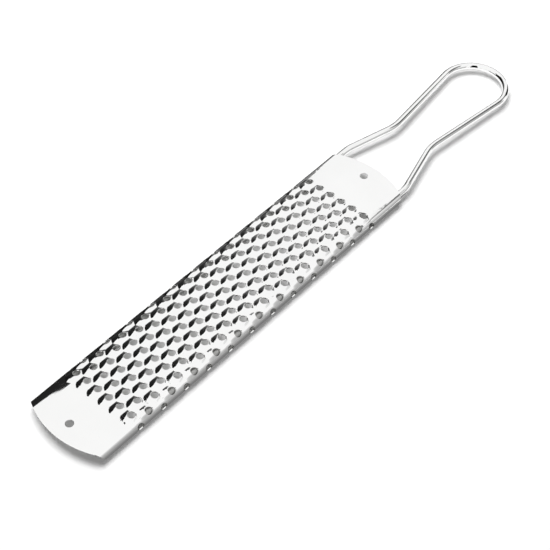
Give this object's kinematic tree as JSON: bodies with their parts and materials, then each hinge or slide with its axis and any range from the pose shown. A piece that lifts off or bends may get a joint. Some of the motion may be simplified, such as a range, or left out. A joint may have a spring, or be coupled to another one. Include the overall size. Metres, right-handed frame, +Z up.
{
  "type": "flat hand grater",
  "caption": "Flat polished steel hand grater: a punched plate with rolled sides on a bent wire handle, for shredding food by hand.",
  "frame": {"origin": "on the surface that the grater lies on, under the middle of its overall length and width", "axes": "+X along the grater towards the handle loop, +Y across it, +Z up from the surface to the teeth"},
  "size_m": [0.4034, 0.058, 0.0103],
  "materials": {
    "polished_sheet": "mirror polished stainless sheet",
    "polished_wire": "mirror polished stainless wire"
  },
  "bodies": {
    "root": {"grating_plate": "polished_sheet", "wire_handle": "polished_wire"}
  },
  "joints": []
}
